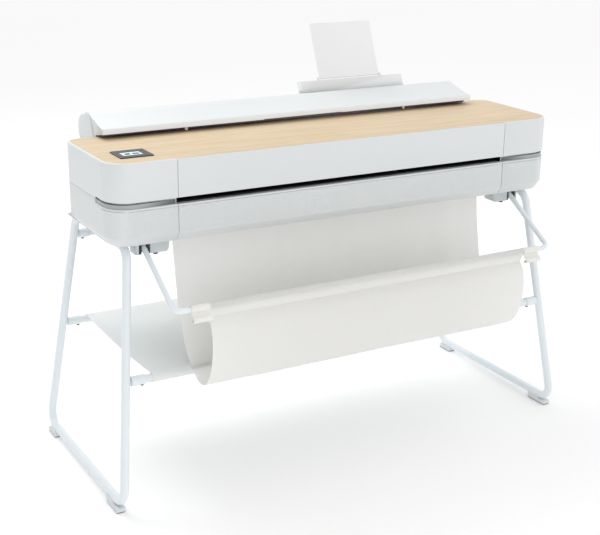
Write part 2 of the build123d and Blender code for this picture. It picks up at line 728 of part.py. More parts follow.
for name, sign, gap in (("left", -1, 0), ("right", 1, RUN_GAP)):
    with BuildPart() as hub:
        bar_x(mirrored((460, 468), sign), ROLL_Y, ROLL_Z, 48)
        bar_x(mirrored((428, 460), sign), ROLL_Y, ROLL_Z, 25)
        fillet(hub.edges().filter_by(GeomType.CIRCLE), 1.5)
        bar_x(mirrored((420, 470), sign), ROLL_Y, ROLL_Z, SPINDLE_R + gap, Mode.SUBTRACT)
    save(hub, f"spindle_hub_{name}")
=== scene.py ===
from math import atan2, cos, pi, radians, sin
import bmesh
import bpy
from mathutils import Matrix, Vector


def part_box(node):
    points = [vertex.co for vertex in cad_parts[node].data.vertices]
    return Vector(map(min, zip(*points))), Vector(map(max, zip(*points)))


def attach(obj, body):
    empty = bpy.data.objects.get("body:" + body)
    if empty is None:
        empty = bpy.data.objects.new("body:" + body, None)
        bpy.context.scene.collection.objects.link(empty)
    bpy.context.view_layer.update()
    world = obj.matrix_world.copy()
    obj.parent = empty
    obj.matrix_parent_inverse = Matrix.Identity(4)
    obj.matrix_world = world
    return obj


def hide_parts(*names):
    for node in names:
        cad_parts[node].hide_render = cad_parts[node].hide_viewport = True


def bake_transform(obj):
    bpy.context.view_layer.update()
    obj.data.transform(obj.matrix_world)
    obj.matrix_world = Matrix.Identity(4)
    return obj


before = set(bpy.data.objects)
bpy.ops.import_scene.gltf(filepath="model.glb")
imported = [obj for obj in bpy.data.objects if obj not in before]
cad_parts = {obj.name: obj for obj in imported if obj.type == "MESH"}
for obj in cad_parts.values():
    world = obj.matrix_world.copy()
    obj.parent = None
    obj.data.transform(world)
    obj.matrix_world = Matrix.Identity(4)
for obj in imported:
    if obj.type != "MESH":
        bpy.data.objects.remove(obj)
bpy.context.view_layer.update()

# ------------------------------------------------------------------ lower casing
# The tray of the body in two mouldings: the casing that makes both ends and the back,
# and the panel across the front. Both are injection moulded ABS, upright above a tapered
# skirt, with an engraved line under the lip and a diamond knurl below the line.


def linear(hex_colour):
    """An sRGB hex colour as the linear values that shaders take."""
    parts = [int(hex_colour[i : i + 2], 16) / 255 for i in (1, 3, 5)]
    return [c / 12.92 if c <= 0.04045 else ((c + 0.055) / 1.055) ** 2.4 for c in parts] + [1.0]


def add(tree, kind, settings=None, links=None):
    """One shader node with its settings and the sockets that feed it."""
    made = tree.nodes.new(kind)
    for key, value in (settings or {}).items():
        if isinstance(key, str) and hasattr(made, key):
            setattr(made, key, value)
        else:
            made.inputs[key].default_value = value
    for key, socket in (links or {}).items():
        tree.links.new(socket, made.inputs[key])
    return made


def new_finish(name):
    """An empty material and its node tree."""
    material = bpy.data.materials.new(name)
    material.use_nodes = True
    material.node_tree.nodes.clear()
    return material, material.node_tree


def position(tree):
    """The place on the piece, in metres."""
    return add(tree, "ShaderNodeTexCoord").outputs["Object"]


def noise(tree, place, scale, detail=2.0, roughness=0.5, distortion=0.0):
    """A noise texture read at a place."""
    settings = {"Scale": scale, "Detail": detail, "Roughness": roughness, "Distortion": distortion}
    return add(tree, "ShaderNodeTexNoise", settings, {"Vector": place}).outputs[0]


def maths(tree, operation, *terms):
    """One sum, with each term a socket or a number."""
    made = add(tree, "ShaderNodeMath", {"operation": operation})
    for count, term in enumerate(terms):
        if isinstance(term, bpy.types.NodeSocket):
            tree.links.new(term, made.inputs[count])
        else:
            made.inputs[count].default_value = term
    return made.outputs[0]


def ranged(tree, value, from_low, from_high, to_low=0.0, to_high=1.0):
    """A value carried from one range to another and held inside it."""
    settings = {"From Min": from_low, "From Max": from_high, "To Min": to_low, "To Max": to_high}
    return add(tree, "ShaderNodeMapRange", settings, {"Value": value}).outputs[0]


def blended(tree, factor, first, second):
    """Two colours, each a hex or a socket, mixed by a factor."""
    settings = {"data_type": "RGBA"}
    links = {"Factor": factor}
    for key, colour in (("A", first), ("B", second)):
        if isinstance(colour, str):
            settings[key] = linear(colour)
        else:
            links[key] = colour
    return add(tree, "ShaderNodeMix", settings, links).outputs["Result"]


def bumped(tree, height, strength, distance):
    """A relief from a height."""
    settings = {"Strength": strength, "Distance": distance}
    return add(tree, "ShaderNodeBump", settings, {"Height": height}).outputs[0]


def surface(tree, settings, links):
    """The surface shader and the output that end a finish."""
    shader = add(tree, "ShaderNodeBsdfPrincipled", settings, links)
    add(tree, "ShaderNodeOutputMaterial", None, {"Surface": shader.outputs[0]})
front_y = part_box("front_cover")[0].y


def at(depth):
    """Y of a depth in millimetres behind the body's front face."""
    return front_y + depth / 1000


def pick(kind, test):
    """In edit mode, select only the verts, edges or faces whose middle and direction pass the test."""
    bpy.ops.mesh.select_mode(type=kind)
    bpy.ops.mesh.select_all(action="DESELECT")
    work = bmesh.from_edit_mesh(bpy.context.object.data)
    if kind == "FACE":
        found = [f for f in work.faces if test(f.calc_center_median(), f.normal)]
    elif kind == "EDGE":
        found = []
        for edge in work.edges:
            a, b = edge.verts[0].co, edge.verts[1].co
            if test((a + b) / 2, (b - a).normalized()):
                found.append(edge)
    else:
        found = [v for v in work.verts if test(v.co, v.normal)]
    for item in found:
        item.select = True
    work.select_flush_mode()
    bmesh.update_edit_mesh(bpy.context.object.data)


def settle():
    """Back to object mode with nothing selected."""
    if bpy.context.object and bpy.context.object.mode == "EDIT":
        bpy.ops.object.mode_set(mode="OBJECT")
    bpy.ops.object.select_all(action="DESELECT")


def split(place, way):
    """Cuts edges round the whole piece where a plane crosses it."""
    bpy.ops.mesh.select_all(action="SELECT")
    bpy.ops.mesh.bisect(plane_co=place, plane_no=way)


def drawn_from(node, name, rounding):
    """A new piece on a CAD node's lines: points merged, flat faces joined, sharp edges rounded."""
    settle()
    piece = bpy.data.objects.new(name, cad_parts[node].data.copy())
    bpy.context.collection.objects.link(piece)
    piece.data.name = name
    bpy.context.view_layer.objects.active = piece
    piece.select_set(True)
    bpy.ops.mesh.customdata_custom_splitnormals_clear()
    bpy.ops.object.mode_set(mode="EDIT")
    bpy.ops.mesh.select_all(action="SELECT")
    bpy.ops.mesh.remove_doubles(threshold=0.00001)
    bpy.ops.mesh.dissolve_limited(angle_limit=radians(0.6))
    bpy.ops.object.mode_set(mode="OBJECT")
    if rounding:
        round_edges(piece, rounding)
    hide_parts(node)
    return piece


def round_edges(piece, width, segments=2):
    """Rounds every sharp edge with a bevel modifier and applies it."""
    bpy.context.view_layer.objects.active = piece
    bevel = piece.modifiers.new("rounding", "BEVEL")
    bevel.width = width
    bevel.segments = segments
    bevel.limit_method = "ANGLE"
    bevel.angle_limit = radians(32)
    bevel.miter_outer = "MITER_ARC"
    bpy.ops.object.modifier_apply(modifier=bevel.name)


def complete(piece, body, material, angle=32):
    """Smooth shading, finish, body and material slot for a piece whose shape is ready."""
    settle()
    bpy.context.view_layer.objects.active = piece
    piece.select_set(True)
    bpy.ops.object.shade_smooth_by_angle(angle=radians(angle))
    piece.data.materials.clear()
    piece.data.materials.append(material)
    if body:
        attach(piece, body)


# Satin ABS: a cool off-white with a fine spark-eroded texture, so highlights spread softly
# round the corners. The eroded grain is about 0.25 mm and is drawn at 0.8 mm to show.
casing_finish, tree = new_finish("moulded_abs_satin_white")
place = position(tree)
grain = noise(tree, place, 1250.0, 2.0, 0.6)
satin = {"IOR": 1.53, "Specular IOR Level": 0.45}
looks = {
    "Base Color": blended(tree, noise(tree, place, 2.2), "#DFE2E2", "#D9DCDD"),
    "Roughness": ranged(tree, grain, 0.0, 1.0, 0.4, 0.5),
    "Normal": bumped(tree, grain, 0.12, 0.0004),
}
surface(tree, satin, looks)

# The same ABS where the mould is knurled: a diamond cross-hatch of 2 mm pitch, drawn at 5 mm,
# between the skirt and the engraved line, fading out round the corners; painted shade darkens its hollows.
knurled_finish, tree = new_finish("moulded_abs_knurled_band_painted_shade")
place = position(tree)
plain = blended(tree, noise(tree, place, 2.2), "#E4E7E7", "#DFE2E3")
across = add(tree, "ShaderNodeSeparateXYZ", None, {"Vector": place})
knurl_pitch = 0.0052
slants = []
for turn in (1.0, -1.0):
    tilted = maths(tree, "MULTIPLY_ADD", across.outputs["Z"], turn, across.outputs["X"])
    slants.append(maths(tree, "SINE", maths(tree, "MULTIPLY", tilted, 2 * pi / knurl_pitch)))
diamonds = maths(tree, "MAXIMUM", *slants)
below_line = ranged(tree, across.outputs["Z"], 0.7492, 0.7484)
above_skirt = ranged(tree, across.outputs["Z"], 0.6835, 0.6855)
on_front = ranged(tree, across.outputs["Y"], at(9), at(1))
band = maths(tree, "MULTIPLY", maths(tree, "MULTIPLY", below_line, above_skirt), on_front)
knurl_and_painted_shade = maths(tree, "MULTIPLY", diamonds, band)
grain = noise(tree, place, 1250.0, 2.0, 0.6)
height = maths(tree, "MULTIPLY_ADD", grain, 0.35, knurl_and_painted_shade)
# Painted shade: the knurl's hollows are pulled towards #CFD2D2 so the relief reads.
looks = {
    "Base Color": blended(tree, ranged(tree, knurl_and_painted_shade, -0.8, 0.8), "#CFD2D2", plain),
    "Normal": bumped(tree, height, 0.75, 0.0006),
}
surface(tree, {**satin, "Roughness": 0.46}, looks)


line_low = 0.7491
line_high = 0.7508
line_depth = 0.0019


def engrave_line(piece):
    """Cuts a fine level groove round the front and corners of a casing wall."""
    bpy.context.view_layer.objects.active = piece
    bpy.ops.object.mode_set(mode="EDIT")
    for level in (line_low, line_high):
        split((0, 0, level), (0, 0, 1))
    back = at(61)

    def in_line(middle, normal):
        outward = normal.y < -0.02 or abs(normal.x) > 0.9 and normal.x * middle.x > 0
        outer = abs(middle.x) > 0.62 or middle.y < at(1.5)
        return line_low < middle.z < line_high and middle.y < back and outward and outer

    pick("FACE", in_line)
    bpy.ops.mesh.extrude_region_shrink_fatten(TRANSFORM_OT_shrink_fatten={"value": -line_depth})
    bpy.ops.object.mode_set(mode="OBJECT")


lower_casing = drawn_from("lower_casing", "lower_casing_moulding", 0.0009)
engrave_line(lower_casing)
complete(lower_casing, "machine", knurled_finish)
front_panel = drawn_from("lower_front_panel", "lower_front_panel_moulding", 0.0009)
engrave_line(front_panel)
complete(front_panel, "machine", knurled_finish)

# ------------------------------------------------------------------ slot run-outs
# Round each end the slot dies out as a groove that gets shallower towards the side. Its
# floor is a strip of the same moulding, deepest beside the slot and painted darker there as painted shade.


def extrude(step):
    """Extrudes the selection by a step."""
    bpy.ops.mesh.extrude_region_move(TRANSFORM_OT_translate={"value": step})


def outline(name, corners):
    """A new piece of edges, drawn by extruding one point from corner to corner, in edit mode."""
    settle()
    bpy.ops.mesh.primitive_plane_add(size=0.001, location=(0, 0, 0))
    piece = bpy.context.object
    piece.name = name
    piece.data.name = name
    bpy.ops.object.mode_set(mode="EDIT")
    bpy.ops.mesh.select_mode(type="VERT")
    bpy.ops.mesh.select_all(action="SELECT")
    bpy.ops.mesh.merge(type="CENTER")
    bpy.ops.mesh.select_all(action="SELECT")
    bpy.ops.transform.translate(value=corners[0])
    for before, after in zip(corners, corners[1:]):
        extrude([b - a for a, b in zip(before, after)])
    return piece


def face_outward():
    """Turns every face of the piece outward and leaves it all selected."""
    bpy.ops.mesh.select_all(action="SELECT")
    bpy.ops.mesh.normals_make_consistent(inside=False)


def fill_out(step):
    """Makes a drawn outline solid: filled, then extruded by a step."""
    bpy.ops.mesh.select_all(action="SELECT")
    bpy.ops.mesh.edge_face_add()
    extrude(step)
    face_outward()


liner_painted_shade_finish, tree = new_finish("moulded_abs_slot_run_out_painted_shade")
place = position(tree)
across = add(tree, "ShaderNodeSeparateXYZ", None, {"Vector": place})
distance = maths(tree, "ABSOLUTE", across.outputs["X"])
# Painted shade: the colour runs from #A9ACAC at the sides to #66696A beside the slot.
looks = {
    "Base Color": blended(tree, ranged(tree, distance, 0.488, 0.575), "#66696A", "#A9ACAC"),
    "Normal": bumped(tree, noise(tree, place, 1250.0), 0.12, 0.0004),
}
surface(tree, {"IOR": 1.53, "Roughness": 0.45}, looks)

liner_low = 0.7552
liner_height = 0.0102
corner_x = 597.5
corner_depth = 61.0
outer_radius = 58.7
inner_radius = 48.8
run = [(655.3, 104.5), (656.8, 102.8), (656.6, 82.0), (656.2, 61.0)]
for n in range(1, 13):
    turn, reach = radians(7.5 * n), outer_radius - 1.4 * n / 12
    run.append((corner_x + reach * cos(turn), corner_depth - reach * sin(turn)))
run += [(570.0, 4.4), (545.0, 6.0), (520.0, 8.6), (503.0, 10.8), (490.0, 11.9)]
run += [(490.0, 12.2), (597.5, 12.2)]
for n in range(11, 0, -1):
    turn = radians(7.5 * n)
    run.append((corner_x + inner_radius * cos(turn), corner_depth - inner_radius * sin(turn)))
run += [(646.3, 61.0), (646.3, 104.5)]
for side_name, sign in (("left", -1), ("right", 1)):
    corners = [(sign * x / 1000, at(depth), liner_low) for x, depth in run]
    liner = outline(f"slot_run_out_{side_name}", corners)
    fill_out((0, 0, liner_height))
    complete(liner, "machine", liner_painted_shade_finish, 40)

# ------------------------------------------------------------------ upper casing and front cover
# The rim moulding that frames the wooden top, and the long cover between its two ends that
# flips up for the paper path. Same satin ABS, with a soft bright edge round the wood.

upper_casing = drawn_from("upper_casing", "upper_casing_moulding", 0.0009)
complete(upper_casing, "machine", casing_finish)
front_cover = drawn_from("front_cover", "front_cover_moulding", 0.0009)
complete(front_cover, "front_cover", casing_finish)

# ------------------------------------------------------------------ output guides
# Behind the slot, black ribbed guides carry the sheet out under the cover. They are moulded
# in black polycarbonate, screwed to the frame, and make the slot read as a dark line.


def start_block(name, low, high):
    """A box between two corners, the only thing selected, in edit mode and ready to shape."""
    settle()
    bpy.ops.mesh.primitive_cube_add(size=1, location=(Vector(low) + Vector(high)) / 2)
    piece = bpy.context.object
    piece.name = name
    piece.data.name = name
    piece.scale = Vector(high) - Vector(low)
    bpy.ops.object.transform_apply(location=True, rotation=True, scale=True)
    bpy.ops.object.mode_set(mode="EDIT")
    return piece


def round_over(offset, segments):
    """Bevels the selected edges."""
    bpy.ops.mesh.bevel(offset=offset, segments=segments, affect="EDGES")


def two_tone(name, colours, drift, grain, relief, settings):
    """A plain finish: two colours that drift into each other and, with a relief, a fine bump.

    Drift and grain are a noise's scale and detail. Without a grain the bump follows the drift.
    """
    material, tree = new_finish(name)
    place = position(tree)
    tone = noise(tree, place, *drift)
    looks = {"Base Color": blended(tree, tone, *colours)}
    if relief:
        fine = noise(tree, place, *grain) if grain else tone
        looks["Normal"] = bumped(tree, fine, *relief)
    surface(tree, settings, looks)
    return material


black_finish = two_tone(
    "moulded_black_polycarbonate",
    ("#141517", "#1E1F22"),
    (900.0, 3.0),
    None,
    (0.15, 0.0004),
    {"IOR": 1.58, "Roughness": 0.42},
)

guide = start_block("upper_output_guide", (-0.478, at(54), 0.7735), (0.478, at(105), 0.777))
rib_pitch = 0.04
rib_half = 0.001
for rib in range(-11, 12):
    for edge_x in (rib * rib_pitch - rib_half, rib * rib_pitch + rib_half):
        split((edge_x, 0, 0), (1, 0, 0))


def is_rib(middle, normal):
    return normal.z < -0.9 and abs(middle.x - round(middle.x / rib_pitch) * rib_pitch) < rib_half


pick("FACE", is_rib)
extrude((0, 0, -0.0018))
complete(guide, "machine", black_finish)

# Thin black strips set just inside the seams beside the long front mouldings are painted shade: they make
# the seam gaps read dark.
for side_name, sign in (("left", -1), ("right", 1)):
    for level, foot_z, head_z in (("lower", 0.6845, 0.7535), ("upper", 0.7731, 0.861)):
        inner, outer = sorted((sign * 0.48715, sign * 0.48798))
        seam_shade_strip = start_block(
            f"seam_painted_shade_{level}_{side_name}", (inner, at(0.9), foot_z), (outer, at(1.45), head_z)
        )
        bpy.ops.mesh.select_all(action="SELECT")
        round_over(0.0001, 1)
        complete(seam_shade_strip, "machine", black_finish)

# ------------------------------------------------------------------ wooden top
# A panel of pale maple veneer on board, let into the rim flush with it and sealed matt.
# The grain runs along the machine in fine streaks with a few darker growth lines.


def stretch(tree, place, scale):
    """A place scaled along each axis."""
    return add(tree, "ShaderNodeMapping", {"Scale": scale}, {"Vector": place}).outputs[0]


def ramp(tree, factor, stops, interpolation="LINEAR"):
    """A colour ramp through stops, each a position and a hex."""
    made = add(tree, "ShaderNodeValToRGB", None, {"Fac": factor})
    made.color_ramp.interpolation = interpolation
    elements = made.color_ramp.elements
    for count, (spot, colour) in enumerate(stops):
        element = elements[count] if count < 2 else elements.new(spot)
        element.position = spot
        element.color = linear(colour)
    return made.outputs["Color"]


wood_finish, tree = new_finish("maple_veneer_matt_lacquer")
place = position(tree)
bands = noise(tree, stretch(tree, place, (1.0, 26.0, 26.0)), 3.2, 6.0, 0.62, 0.35)
fibres = noise(tree, stretch(tree, place, (9.0, 620.0, 620.0)), 1.0, 4.0, 0.7)
growth = ramp(tree, bands, [(0.28, "#CEB591"), (0.72, "#E1CEB0")])
fibre_tone = ranged(tree, fibres, 0.3, 0.7, 0.84, 1.08)
colour = add(tree, "ShaderNodeVectorMath", {"operation": "SCALE"}, {0: growth, "Scale": fibre_tone})
looks = {"Base Color": colour.outputs[0], "Normal": bumped(tree, fibres, 0.12, 0.0002)}
surface(tree, {"IOR": 1.5, "Roughness": 0.5, "Specular IOR Level": 0.35}, looks)

wood_top = drawn_from("wood_top", "maple_top", 0.0004)
complete(wood_top, "machine", wood_finish)

# ------------------------------------------------------------------ control panel
# A dark grey bezel let into the wood at the front left corner, with a small colour touch
# screen set in it. The bezel is moulded; the screen is bonded glass over a lit display.

low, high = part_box("control_bezel")
bezel = start_block("control_bezel_moulding", low, high)
pick("EDGE", lambda middle, way: abs(way.z) > 0.9)
round_over(0.005, 6)
pick("EDGE", lambda middle, way: middle.z > high.z - 0.0001)
round_over(0.0008, 3)
screen_low, screen_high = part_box("touch_screen")
screen_gap = 0.0002
for edge_x in (screen_low.x - screen_gap, screen_high.x + screen_gap):
    split((edge_x, 0, 0), (1, 0, 0))
for edge_y in (screen_low.y - screen_gap, screen_high.y + screen_gap):
    split((0, edge_y, 0), (0, 1, 0))


def over_screen(middle, normal):
    inside_x = screen_low.x - screen_gap < middle.x < screen_high.x + screen_gap
    inside_y = screen_low.y - screen_gap < middle.y < screen_high.y + screen_gap
    return inside_x and inside_y and normal.z > 0.9


pick("FACE", over_screen)
extrude((0, 0, -0.0014))
bezel_finish = two_tone(
    "moulded_graphite_bezel",
    ("#1A1B1E", "#222327"),
    (1400.0,),
    None,
    (0.1, 0.0003),
    {"IOR": 1.55, "Roughness": 0.38},
)
complete(bezel, "machine", bezel_finish)
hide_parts("control_bezel")

# The glass is a plain bright home page: a pale ground, two tiles and a small mark.
glass_top = screen_high.z - 0.0002
glass = start_block("touch_screen_glass", screen_low, (screen_high.x, screen_high.y, glass_top))
pick("EDGE", lambda middle, way: abs(way.z) > 0.9)
round_over(0.001, 3)
glass_finish, tree = new_finish("lit_display_under_glass")
spot = add(tree, "ShaderNodeSeparateXYZ", None, {"Vector": position(tree)})
page = add(tree, "ShaderNodeRGB")
page.outputs[0].default_value = linear("#D5E4E6")
picture = page.outputs[0]
for middle_x, middle_y, half_x, half_y, tint in (
    (-0.5767, 0.0935, 0.0066, 0.0066, "#0A4A1E"),
    (-0.5558, 0.0925, 0.0080, 0.0064, "#2A6A90"),
    (-0.5440, 0.0990, 0.0016, 0.0040, "#E8B4B8"),
):
    masks = []
    for axis, centre, half in (("X", middle_x, half_x), ("Y", at(0) + middle_y, half_y)):
        away = maths(tree, "ABSOLUTE", maths(tree, "SUBTRACT", spot.outputs[axis], centre))
        masks.append(maths(tree, "LESS_THAN", away, half))
    picture = blended(tree, maths(tree, "MULTIPLY", *masks), picture, tint)
settings = {"IOR": 1.15, "Roughness": 0.2, "Specular IOR Level": 0.1, "Emission Strength": 0.1}
surface(tree, settings, {"Base Color": picture, "Emission Color": picture})
complete(glass, "machine", glass_finish)
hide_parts("touch_screen")

# ------------------------------------------------------------------ roll cover
# The long hood over the paper roll, hinged at its lower back edge. It is one ABS moulding:
# round behind, a ridge on top and a shallow visor in front that ends in a deep lip. Each
# end has a D-shaped cap pressed on, and two pegs under the lip rest on the wood.
roll_cover = drawn_from("roll_cover", "roll_cover_moulding", 0.0012)
complete(roll_cover, "roll_cover", casing_finish, 28)
# The front face of the lip gets a copy of the satin finish painted whiter and a little bluer, as painted
# light on the faces that look forward.
lip_painted_light_finish = casing_finish.copy()
lip_painted_light_finish.name = "moulded_abs_lip_painted_light"
for node in lip_painted_light_finish.node_tree.nodes:
    if node.type == "MIX":
        node.inputs[6].default_value = linear("#F3F7FC")
        node.inputs[7].default_value = linear("#EEF3FA")
roll_cover.data.materials.append(lip_painted_light_finish)
for face in roll_cover.data.polygons:
    if face.normal.y < -0.7 and face.center.y < at(277):
        face.material_index = 1


def trace(name, points, x):
    """An outline in the YZ plane through points given as depths and heights in millimetres."""
    return outline(name, [(x, at(depth), height / 1000) for depth, height in points])


def arc(centre, radius, first, last, count):
    """Corners along an arc, in degrees, in depth and height."""
    turns = [radians(first + (last - first) * n / count) for n in range(count + 1)]
    return [(centre[0] + radius * cos(t), centre[1] + radius * sin(t)) for t in turns]


cap_inner = 0.5712
cap_thick = 0.0026
back_curve = arc((404.0, 866.0), 42.5, -8, 88, 14)
front_curve = [(386.0, 914.0), (376.5, 917.0), (367.0, 914.0), (357.0, 906.0), (348.5, 894.0)]
foot = [(342.5, 880.0), (339.0, 866.5), (339.0, 852.0), (441.0, 846.0)]
cap_outline = [(446.0, 850.0)] + back_curve + front_curve + foot
for side_name, sign in (("left", -1), ("right", 1)):
    cap = trace(f"roll_cover_cap_{side_name}", cap_outline, sign * cap_inner)
    fill_out((sign * cap_thick, 0, 0))
    outer_x = sign * (cap_inner + cap_thick)
    pick("EDGE", lambda middle, way: abs(middle.x - outer_x) < 0.0001)
    round_over(0.0012, 3)
    complete(cap, "roll_cover", casing_finish, 28)

# Under the lip runs a strip of smoked acrylic that lets the roll be seen. It is nearly black and
# polished; its colour is painted far lighter, with a faint violet, as painted reflection of the light it
# catches.
smoked_painted_light_finish, tree = new_finish("smoked_acrylic_painted_reflection")
painted_reflection_drift = noise(tree, stretch(tree, position(tree), (2.2, 60.0, 60.0)), 1.4)
colour = ramp(tree, painted_reflection_drift, [(0.35, "#5A5B72"), (0.75, "#AEAFC8")])
settings = {"IOR": 1.49, "Roughness": 0.12, "Coat Weight": 0.3, "Coat Roughness": 0.05}
surface(tree, settings, {"Base Color": colour})
strip_outline = [(287.5, 879.5), (296.5, 867.2), (298.6, 868.2), (290.2, 881.6)]
strip = trace("smoked_strip", strip_outline, -0.5665)
fill_out((1.133, 0, 0))
round_over(0.0004, 2)
complete(strip, "roll_cover", smoked_painted_light_finish)

# ------------------------------------------------------------------ roll housing
# The trough behind the body that holds the roll, moulded in the same ABS and open at the
# top under the cover.
roll_housing = drawn_from("roll_housing", "roll_housing_moulding", 0.0012)
complete(roll_housing, "machine", casing_finish, 28)

# ------------------------------------------------------------------ sheet feeder
# A short tray on the roll cover with a flap hinged to its top edge that folds up to hold
# the sheets. Both are thin moulded polystyrene, slightly whiter than the body.
feeder_finish = two_tone(
    "moulded_polystyrene_white",
    ("#F1F3F3", "#ECEEEE"),
    (4.0,),
    (1500.0,),
    (0.1, 0.0003),
    {"IOR": 1.55, "Roughness": 0.42, "Specular IOR Level": 0.45},
)
sheet_tray = drawn_from("sheet_tray", "sheet_tray_moulding", 0.0007)
complete(sheet_tray, "roll_cover", feeder_finish)
tray_extension = drawn_from("tray_extension", "tray_extension_moulding", 0.0007)
complete(tray_extension, "tray_extension", feeder_finish)

# ------------------------------------------------------------------ leg loops
# Each leg is one closed loop of round steel tube, bent, butt welded and powder coated in a
# cool white. The coat is half gloss with a faint orange peel. The tubes are the CAD's own.
powder_finish = two_tone(
    "powder_coated_steel_tube",
    ("#E9EFF3", "#E1E8ED"),
    (5.0,),
    (520.0,),
    (0.06, 0.0006),
    {"IOR": 1.52, "Roughness": 0.32, "Specular IOR Level": 0.5},
)


def refinish(material, *nodes):
    """Gives carried-over CAD nodes their real finish."""
    for node in nodes:
        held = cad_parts[node].data.materials
        held.clear()
        held.append(material)


refinish(powder_finish, "leg_loop_left", "leg_loop_right", "rear_cross_bar", "shelf_bars", "bin_rod")

# ------------------------------------------------------------------ feet
# A shoe under each end of each loop's bottom run, clipped up round the tube: moulded grey
# white polypropylene with a thin black rubber pad on the floor.


def carve(piece, tool):
    """Cuts a tool out of a piece and removes the tool."""
    cut = piece.modifiers.new("cut", "BOOLEAN")
    cut.operation = "DIFFERENCE"
    cut.object = tool
    bpy.context.view_layer.objects.active = piece
    bpy.ops.object.modifier_apply(modifier=cut.name)
    bpy.data.objects.remove(tool)


foot_finish = two_tone(
    "moulded_polypropylene_light_grey",
    ("#DEE3E5", "#D6DBDE"),
    (30.0,),
    (1100.0,),
    (0.12, 0.0003),
    {"IOR": 1.49, "Roughness": 0.5},
)
rubber_finish = two_tone(
    "black_rubber",
    ("#101012", "#1B1B1D"),
    (1600.0, 3.0),
    None,
    (0.2, 0.0003),
    {"IOR": 1.52, "Roughness": 0.75},
)

tube_x = 0.6759
tube_z = 0.023
seat_radius = 0.01115
shoe_x = (0.6655, 0.69)
shoe_z = (0.0022, 0.0119)
saddle_rise = 0.0091
pad_margin = 1.2
for end_name, span, saddle in (
    ("front", (-46.7, 28.0), (-12.0, 28.0)),
    ("rear", (428.0, 484.0), (428.0, 452.0)),
):
    for side_name, sign in (("left", -1), ("right", 1)):
        inner, outer = sorted((sign * shoe_x[0], sign * shoe_x[1]))
        low, high = (inner, at(span[0]), shoe_z[0]), (outer, at(span[1]), shoe_z[1])
        shoe = start_block(f"foot_{end_name}_{side_name}", low, high)
        for cut in saddle:
            if span[0] < cut < span[1]:
                split((0, at(cut), 0), (0, 1, 0))
        inside = (at(saddle[0]), at(saddle[1]))

        def under_saddle(middle, normal):
            return normal.z > 0.9 and inside[0] < middle.y < inside[1]

        pick("FACE", under_saddle)
        extrude((0, 0, saddle_rise))
        pick("EDGE", lambda middle, way: abs(way.z) > 0.9 and abs(abs(middle.x) - 0.67775) > 0.01)
        bpy.ops.mesh.bevel(offset=0.004, segments=4, affect="EDGES", clamp_overlap=True)
        settle()
        bpy.ops.mesh.primitive_cylinder_add(
            vertices=64,
            radius=seat_radius,
            depth=0.2,
            location=(sign * tube_x, at(sum(span) / 2), tube_z),
            rotation=(pi / 2, 0, 0),
        )
        carve(shoe, bpy.context.object)
        round_edges(shoe, 0.0007)
        complete(shoe, "machine", foot_finish)
        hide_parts(f"feet_{end_name}")
        pad = start_block(
            f"foot_pad_{end_name}_{side_name}",
            (inner + pad_margin / 1000, at(span[0] + pad_margin), 0.0),
            (outer - pad_margin / 1000, at(span[1] - pad_margin), 0.0026),
        )
        pick("EDGE", lambda middle, way: abs(way.z) > 0.9)
        round_over(0.003, 4)
        pick("FACE", lambda middle, normal: normal.z < -0.9)
        bpy.ops.mesh.inset(thickness=0.0025)
        bpy.ops.transform.translate(value=(0, 0, 0.0005))
        complete(pad, "machine", rubber_finish)

# ------------------------------------------------------------------ shelf and cross bars
# Thin round tubes join the two legs, plugged into welded sockets and locked by a small black
# screw from below. Bars, sockets and stubs carry the same powder coat as the legs.
bar_sleeves = drawn_from("bar_sleeves", "bar_sockets_welded", 0.0009)
complete(bar_sleeves, "machine", powder_finish)

steel_finish, tree = new_finish("black_oxide_steel")
gloss = ranged(tree, noise(tree, position(tree), 1900.0), 0.0, 1.0, 0.3, 0.45)
surface(tree, {"Base Color": linear("#1F2022"), "Metallic": 0.8}, {"Roughness": gloss})


def screw(name, place_at, turn=(0, 0, 0), size=1.0):
    """A button head screw with a hexagon socket, its head pointing down before it is turned."""
    settle()
    bpy.ops.mesh.primitive_cylinder_add(vertices=24, radius=0.004, depth=0.0028, location=(0, 0, 0))
    made = bpy.context.object
    made.name = name
    made.data.name = name
    bpy.ops.object.mode_set(mode="EDIT")
    pick("EDGE", lambda middle, way: middle.z < -0.0013)
    round_over(0.0012, 4)
    pick("FACE", lambda middle, normal: normal.z < -0.9 and middle.z < -0.0013)
    bpy.ops.mesh.inset(thickness=0.0012)
    extrude((0, 0, 0.0014))
    bpy.ops.object.mode_set(mode="OBJECT")
    made.rotation_euler = turn
    made.location = place_at
    made.scale = (size, size, size)
    bpy.ops.object.transform_apply(location=True, rotation=True, scale=True)
    return made


spots = []
for sign in (-1, 1):
    for depth in (-13.0, 450.0):
        spots.append((sign * 0.6, at(depth), 0.3159))
    spots.append((sign * 0.59, at(407.0), 0.5759))
    for depth in (90.0, 215.0, 345.0):
        spots.append((sign * 0.59, at(depth), 0.6573))
for count, spot in enumerate(spots):
    made = screw(f"stand_screw_{count:02d}", spot)
    complete(made, "machine", steel_finish)
    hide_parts("stand_fasteners")

# ------------------------------------------------------------------ shelf cloth
# A plain woven polyester shelf between the two lower bars, sewn into a tube round each bar.
# It hangs a little between them; the line of stitching inside each hem is not drawn.


